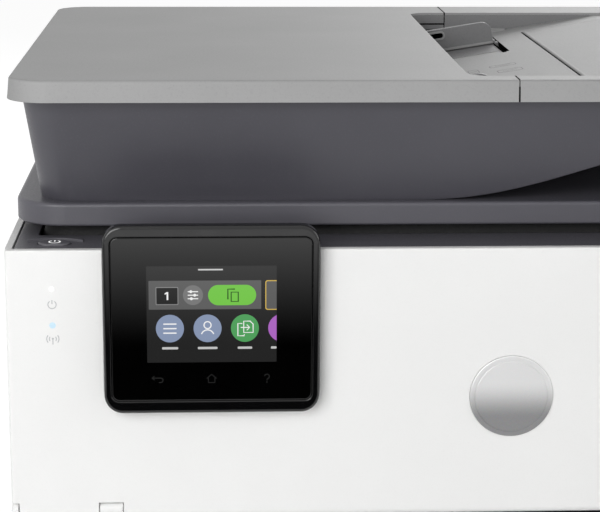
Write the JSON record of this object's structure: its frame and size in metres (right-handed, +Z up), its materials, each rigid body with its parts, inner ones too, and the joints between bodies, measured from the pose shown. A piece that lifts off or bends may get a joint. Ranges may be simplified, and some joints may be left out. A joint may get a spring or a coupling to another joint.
{
  "type": "inkjet printer",
  "caption": "Office inkjet printer with a scanner lid, a document feeder, a tilting touch panel, a drop-down front door and paper trays.",
  "frame": {"origin": "on the floor under the middle of the outer box", "axes": "+X to the right seen from the front, +Y to the back, +Z up"},
  "size_m": [0.437, 0.342, 0.278],
  "materials": {
    "white_shell": "satin",
    "dark_shell": "fine texture",
    "black_part": "matte",
    "grey_shell": "fine texture",
    "gloss_black": "gloss",
    "panel_glass": "gloss",
    "screen": "gloss",
    "badge": "satin",
    "rubber": "matte",
    "glass": "clear",
    "steel": "brushed",
    "pad_white": "foam backed film",
    "belt_rubber": "matte",
    "engine_grey": "matte",
    "tray_grey": "matte",
    "gear_white": "moulded acetal",
    "roller_grey": "ground rubber",
    "ink_black": "satin",
    "ink_cyan": "satin",
    "ink_magenta": "satin",
    "ink_yellow": "satin",
    "board_green": "solder mask"
  },
  "bodies": {
    "chassis": {"rubber_feet": "rubber", "base_pan": "black_part", "front_usb_port": "black_part", "left_side_cover": "white_shell", "right_side_cover": "white_shell", "rear_cover": "dark_shell", "chassis_frame": "engine_grey", "top_deck": "dark_shell", "panel_bracket": "black_part", "scanner_base": "black_part", "scanner_glass": "glass", "scan_rail": "steel", "carriage_rail": "steel", "carriage_belt": "belt_rubber", "motors": "steel", "platen": "engine_grey", "service_station": "engine_grey", "power_supply": "black_part", "power_inlet": "black_part", "main_board": "board_green", "output_tray": "dark_shell"},
    "door": {"front_door": "white_shell", "door_badge": "badge"},
    "control_panel": {"panel_housing": "gloss_black", "panel_glass": "panel_glass", "lcd_display": "screen", "panel_back_cover": "black_part"},
    "power_key": {"power_button": "dark_shell"},
    "rear_access": {"rear_access_door": "dark_shell"},
    "scan_head": {"scan_bar": "engine_grey"},
    "lid": {"scanner_lid": "dark_shell", "lid_pad": "pad_white", "adf_base": "dark_shell", "adf_tray": "grey_shell"},
    "feeder_cover": {"adf_cover": "grey_shell"},
    "feeder_flap": {"adf_tray_flap": "grey_shell"},
    "feeder_guide_rear": {"adf_guide_rear": "grey_shell"},
    "feeder_guide_front": {"adf_guide_front": "grey_shell"},
    "feeder_pinion": {"adf_guide_pinion": "gear_white"},
    "feeder_pick": {"adf_pick_roller": "roller_grey"},
    "feeder_drum": {"adf_drum": "roller_grey"},
    "print_carriage": {"carriage": "engine_grey"},
    "belt_drive": {"drive_pulley": "gear_white"},
    "belt_idler": {"idler_pulley": "gear_white"},
    "line_feed": {"feed_roller": "roller_grey"},
    "paper_eject": {"eject_roller": "roller_grey"},
    "feed_idler": {"idler_gear": "gear_white"},
    "paper_drawer": {"input_tray": "white_shell"},
    "width_guide_left": {"tray_guide_left": "tray_grey"},
    "width_guide_right": {"tray_guide_right": "tray_grey"},
    "width_pinion": {"tray_pinion": "gear_white"},
    "paper_length_guide": {"length_guide": "tray_grey"},
    "pick_lever": {"pick_arm": "engine_grey"},
    "pick_wheel": {"pick_roller": "roller_grey"},
    "extender": {"output_extender": "dark_shell"},
    "stop_flap": {"paper_stop": "dark_shell"},
    "cartridge_black": {"ink_cartridge_black": "ink_black"},
    "cartridge_cyan": {"ink_cartridge_cyan": "ink_cyan"},
    "cartridge_magenta": {"ink_cartridge_magenta": "ink_magenta"},
    "cartridge_yellow": {"ink_cartridge_yellow": "ink_yellow"}
  },
  "joints": [
    {"name": "door_hinge", "type": "hinge", "parent": "chassis", "child": "door", "pos_m": [0, -0.1595, 0.0895], "axis": [1, 0, 0], "range_deg": [0, 90]},
    {"name": "panel_tilt", "type": "hinge", "parent": "chassis", "child": "control_panel", "pos_m": [-0.13055, -0.155, 0.203], "axis": [-1, 0, 0], "range_deg": [0, 40]},
    {"name": "power_press", "type": "slide", "parent": "chassis", "child": "power_key", "axis": [0, 0, -1], "range_m": [0, 0.001], "stiffness_N_per_m": 400, "springref_m": -0.0005},
    {"name": "rear_access_hinge", "type": "hinge", "parent": "chassis", "child": "rear_access", "pos_m": [0, 0.168, 0.0695], "axis": [-1, 0, 0], "range_deg": [0, 70]},
    {"name": "scan_travel", "type": "slide", "parent": "chassis", "child": "scan_head", "axis": [1, 0, 0], "range_m": [0, 0.326]},
    {"name": "lid_hinge", "type": "hinge", "parent": "chassis", "child": "lid", "pos_m": [0, 0.162, 0.217], "axis": [-1, 0, 0], "range_deg": [0, 70]},
    {"name": "feeder_cover_hinge", "type": "hinge", "parent": "lid", "child": "feeder_cover", "pos_m": [-0.215, 0, 0.2707], "axis": [0, -1, 0], "range_deg": [0, 80]},
    {"name": "feeder_flap_hinge", "type": "hinge", "parent": "lid", "child": "feeder_flap", "pos_m": [0.0439, 0, 0.26837], "axis": [0, -1, 0], "range_deg": [0, 35]},
    {"name": "feeder_guide_rear_slide", "type": "slide", "parent": "lid", "child": "feeder_guide_rear", "axis": [0, -1, 0], "range_m": [-0.022, 0.0365]},
    {"name": "feeder_guide_front_slide", "type": "slide", "parent": "lid", "child": "feeder_guide_front", "axis": [0, 1, 0], "range_m": [-0.022, 0.0365]},
    {"name": "feeder_pinion_turn", "type": "hinge", "parent": "lid", "child": "feeder_pinion", "pos_m": [0.0245, -0.0105, 0.26653], "axis": [-0.1599, 0, 0.9871], "range_deg": [-146, 241]},
    {"name": "feeder_drum_spin", "type": "hinge", "parent": "lid", "child": "feeder_drum", "pos_m": [-0.175, 0.012, 0.2422], "axis": [0, 1, 0], "continuous": true},
    {"name": "feeder_pick_spin", "type": "hinge", "parent": "lid", "child": "feeder_pick", "pos_m": [-0.096, 0.012, 0.25851], "axis": [0, 1, 0], "continuous": true},
    {"name": "carriage_travel", "type": "slide", "parent": "chassis", "child": "print_carriage", "axis": [-1, 0, 0], "range_m": [0, 0.292]},
    {"name": "belt_drive_turn", "type": "hinge", "parent": "chassis", "child": "belt_drive", "pos_m": [0.196, -0.029, 0.14], "axis": [0, 1, 0], "range_deg": [-1, 2358]},
    {"name": "belt_idler_turn", "type": "hinge", "parent": "chassis", "child": "belt_idler", "pos_m": [-0.196, -0.029, 0.14], "axis": [0, 1, 0], "range_deg": [-1, 2358]},
    {"name": "line_feed_spin", "type": "hinge", "parent": "chassis", "child": "line_feed", "pos_m": [0, -0.022, 0.088], "axis": [1, 0, 0], "continuous": true},
    {"name": "paper_eject_spin", "type": "hinge", "parent": "chassis", "child": "paper_eject", "pos_m": [0, -0.118, 0.088], "axis": [1, 0, 0], "continuous": true},
    {"name": "feed_idler_spin", "type": "hinge", "parent": "chassis", "child": "feed_idler", "pos_m": [-0.2125, -0.07, 0.108], "axis": [1, 0, 0], "continuous": true},
    {"name": "drawer_slide", "type": "slide", "parent": "chassis", "child": "paper_drawer", "axis": [0, -1, 0], "range_m": [0, 0.2]},
    {"name": "width_guide_left_slide", "type": "slide", "parent": "paper_drawer", "child": "width_guide_left", "axis": [1, 0, 0], "range_m": [0, 0.052]},
    {"name": "width_guide_right_slide", "type": "slide", "parent": "paper_drawer", "child": "width_guide_right", "axis": [-1, 0, 0], "range_m": [0, 0.052]},
    {"name": "width_pinion_turn", "type": "hinge", "parent": "paper_drawer", "child": "width_pinion", "pos_m": [0, 0.04, 0.0128], "axis": [0, 0, 1], "range_deg": [-1, 342]},
    {"name": "length_guide_slide", "type": "slide", "parent": "paper_drawer", "child": "paper_length_guide", "axis": [0, 1, 0], "range_m": [0, 0.14]},
    {"name": "pick_lever_lift", "type": "hinge", "parent": "chassis", "child": "pick_lever", "pos_m": [0, 0.02, 0.076], "axis": [1, 0, 0], "range_deg": [0, 10]},
    {"name": "pick_wheel_spin", "type": "hinge", "parent": "pick_lever", "child": "pick_wheel", "pos_m": [0, 0.066, 0.0405], "axis": [1, 0, 0], "continuous": true},
    {"name": "extender_slide", "type": "slide", "parent": "chassis", "child": "extender", "axis": [0, -1, 0], "range_m": [0, 0.105]},
    {"name": "stop_flap_hinge", "type": "hinge", "parent": "extender", "child": "stop_flap", "pos_m": [0, -0.1562, 0.0634], "axis": [1, 0, 0], "range_deg": [0, 90]},
    {"name": "cartridge_black_slide", "type": "slide", "parent": "print_carriage", "child": "cartridge_black", "axis": [0, -1, 0], "range_m": [0, 0.02]},
    {"name": "cartridge_cyan_slide", "type": "slide", "parent": "print_carriage", "child": "cartridge_cyan", "axis": [0, -1, 0], "range_m": [0, 0.02]},
    {"name": "cartridge_magenta_slide", "type": "slide", "parent": "print_carriage", "child": "cartridge_magenta", "axis": [0, -1, 0], "range_m": [0, 0.02]},
    {"name": "cartridge_yellow_slide", "type": "slide", "parent": "print_carriage", "child": "cartridge_yellow", "axis": [0, -1, 0], "range_m": [0, 0.02]}
  ],
  "couplings": [
    {"joint": "feeder_guide_front_slide", "follows": "feeder_guide_rear_slide", "ratio": 1},
    {"joint": "feeder_pinion_turn", "follows": "feeder_guide_rear_slide", "rad_per_m": 114.29},
    {"joint": "feeder_pick_spin", "follows": "feeder_drum_spin", "ratio": 1.4444},
    {"joint": "belt_drive_turn", "follows": "carriage_travel", "rad_per_m": 140.85},
    {"joint": "belt_idler_turn", "follows": "carriage_travel", "rad_per_m": 140.85},
    {"joint": "paper_eject_spin", "follows": "line_feed_spin", "ratio": 1},
    {"joint": "feed_idler_spin", "follows": "line_feed_spin", "ratio": -0.44444},
    {"joint": "width_guide_right_slide", "follows": "width_guide_left_slide", "ratio": 1},
    {"joint": "width_pinion_turn", "follows": "width_guide_left_slide", "rad_per_m": 114.29}
  ]
}
